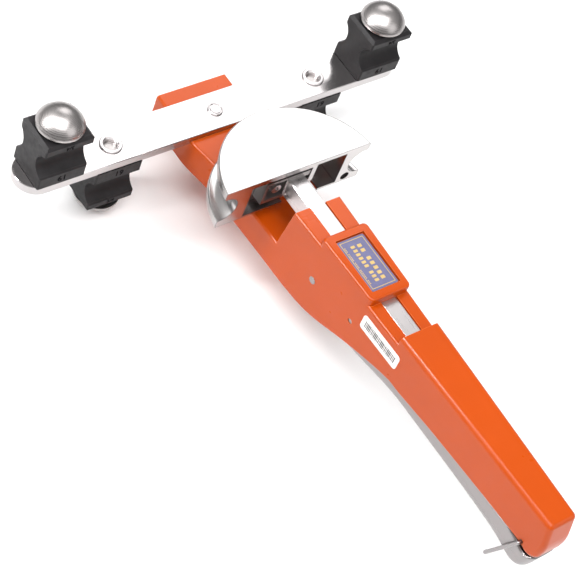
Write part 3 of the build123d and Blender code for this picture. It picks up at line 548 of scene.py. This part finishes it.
class BENDER_OT_label(Operator):
    """Finish the side label and print a row of plain bars on it"""

    bl_idname = "bender.label"
    bl_label = "Side label"

    def execute(self, context):
        colours, marks, _ = settings()
        finish_for("side_label", printed("label_film", colours.label, 0.4, 0, 0.05))
        low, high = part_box("side_label")
        length = high.y - low.y
        slope = (high.x - low.x - LABEL_FILM) / length
        lean = Matrix.Rotation(math.atan(slope), 4, "Z")
        ticks = bmesh.new()
        for index in range(marks.tick_count):
            along = (index - (marks.tick_count - 1) / 2) * marks.tick_pitch
            wide = marks.tick_pitch * TICK_WIDTHS[(index * index + index // 2) % 3]
            spot = Matrix.Translation((low.x + slope * (length / 2 - along), (low.y + high.y) / 2 + along,
                                       (low.z + high.z) / 2))
            turn = lean @ Matrix.Rotation(QUARTER_TURN, 4, "Y")
            add_bar(ticks, spot @ turn, (marks.tick_height, wide, 2 * marks.print_raise), TICK_CORNER)
        add_piece("label_bars", ticks, printed("label_ink", colours.ink, 0.45), "tool_frame")
        return {"FINISHED"}


# ---- Studio ----
def soft_panel(name, place, aim, size, brightness):
    """A soft panel that faces a point; brightness is what a mirror would show of it."""
    lamp = bpy.data.lights.new(name, "AREA")
    lamp.shape = "RECTANGLE"
    lamp.size, lamp.size_y = size
    lamp.energy = math.pi * brightness * size[0] * size[1]
    panel = bpy.data.objects.new(name, lamp)
    facing = (Vector(aim) - Vector(place)).to_track_quat("-Z", "Y").to_matrix().to_4x4()
    panel.matrix_world = Matrix.Translation(place) @ facing
    bpy.context.scene.collection.objects.link(panel)
    return panel


class BENDER_OT_studio(Operator):
    """Lay the floor, hang the lights and place the camera"""

    bl_idname = "bender.studio"
    bl_label = "Studio"

    def execute(self, context):
        _, _, stage = settings()
        mesh = bmesh.new()
        bmesh.ops.create_grid(mesh, x_segments=1, y_segments=1, size=FLOOR_HALF)
        data = bpy.data.meshes.new("floor")
        mesh.to_mesh(data)
        mesh.free()
        floor = bpy.data.objects.new("floor", data)
        context.scene.collection.objects.link(floor)
        paper = Shading("floor_paper").set(Base_Color=(0.95, 0.95, 0.95), Roughness=0.9)
        data.materials.append(paper.material)

        middle = (CAD_BOX[0] + CAD_BOX[1]) / 2
        soft_panel("far_panel", (0.90, 1.10, 1.25), (0.90, 1.10, 0), (1.2, 1.0), 2.8)
        soft_panel("top_panel", (-0.30, -0.35, 1.50), middle, (1.2, 1.2), 5.0)
        strip_place, strip_aim = (-0.80, 0.40, 0.88), (-0.05, 0.02, 0.08)
        soft_panel("left_strip", strip_place, strip_aim, (0.10, 1.0), 26)
        glint = soft_panel("glint_strip", strip_place, strip_aim, (0.05, 1.0), 140)
        glint.visible_diffuse = False
        soft_panel("front_fill", (0.60, -1.40, 0.90), middle, (1.2, 1.0), 1.6)
        world = bpy.data.worlds.new("studio_air")
        world.use_nodes = True
        tree = world.node_tree
        place = tree.nodes.new("ShaderNodeTexCoord")
        height = tree.nodes.new("ShaderNodeSeparateXYZ")
        fade = tree.nodes.new("ShaderNodeMapRange")
        for name, number in (("From Min", 0.05), ("From Max", 0.7), ("To Min", 0.5 * stage.sky),
                             ("To Max", 1.25 * stage.sky)):
            fade.inputs[name].default_value = number
        tree.links.new(place.outputs["Generated"], height.inputs["Vector"])
        tree.links.new(height.outputs["Z"], fade.inputs["Value"])
        tree.nodes["Background"].inputs["Color"].default_value = (1, 1, 1, 1)
        tree.links.new(fade.outputs["Result"], tree.nodes["Background"].inputs["Strength"])
        context.scene.world = world
        context.scene.view_settings.view_transform = "Standard"

        camera = bpy.data.objects.new("camera", bpy.data.cameras.new("camera"))
        camera.data.lens = stage.lens
        camera.data.sensor_width = SENSOR_WIDTH
        stand = Vector(stage.camera_place)
        sight = (Vector(stage.camera_aim) - stand).to_track_quat("-Z", "Y").to_matrix().to_4x4()
        camera.matrix_world = Matrix.Translation(stand) @ sight @ Matrix.Rotation(stage.camera_roll, 4, "Z")
        context.scene.collection.objects.link(camera)
        context.scene.camera = camera
        return {"FINISHED"}


STEPS = (BENDER_OT_body, BENDER_OT_crossbar, BENDER_OT_rod, BENDER_OT_former, BENDER_OT_guides,
         BENDER_OT_knobs, BENDER_OT_lever, BENDER_OT_plate, BENDER_OT_label, BENDER_OT_studio)


class BENDER_PT_panel(Panel):
    """Lists the build steps and their values"""

    bl_idname = "BENDER_PT_panel"
    bl_label = "Tube bender"
    bl_space_type = "VIEW_3D"
    bl_region_type = "UI"
    bl_category = "Tube Bender"

    def draw(self, context):
        for step in STEPS:
            self.layout.operator(step.bl_idname)
        scene = context.scene
        for group in (scene.bender_colours, scene.bender_marks, scene.bender_stage):
            box = self.layout.box()
            for name in group.__annotations__:
                box.prop(group, name)


CLASSES = (BENDER_PG_colours, BENDER_PG_marks, BENDER_PG_stage, *STEPS, BENDER_PT_panel)


def register():
    for item in CLASSES:
        bpy.utils.register_class(item)
    bpy.types.Scene.bender_colours = PointerProperty(type=BENDER_PG_colours)
    bpy.types.Scene.bender_marks = PointerProperty(type=BENDER_PG_marks)
    bpy.types.Scene.bender_stage = PointerProperty(type=BENDER_PG_stage)


def unregister():
    del bpy.types.Scene.bender_stage
    del bpy.types.Scene.bender_marks
    del bpy.types.Scene.bender_colours
    for item in reversed(CLASSES):
        bpy.utils.unregister_class(item)


def main():
    register()
    for step in STEPS:
        group, name = step.bl_idname.split(".")
        getattr(getattr(bpy.ops, group), name)()


if __name__ == "__main__":
    main()
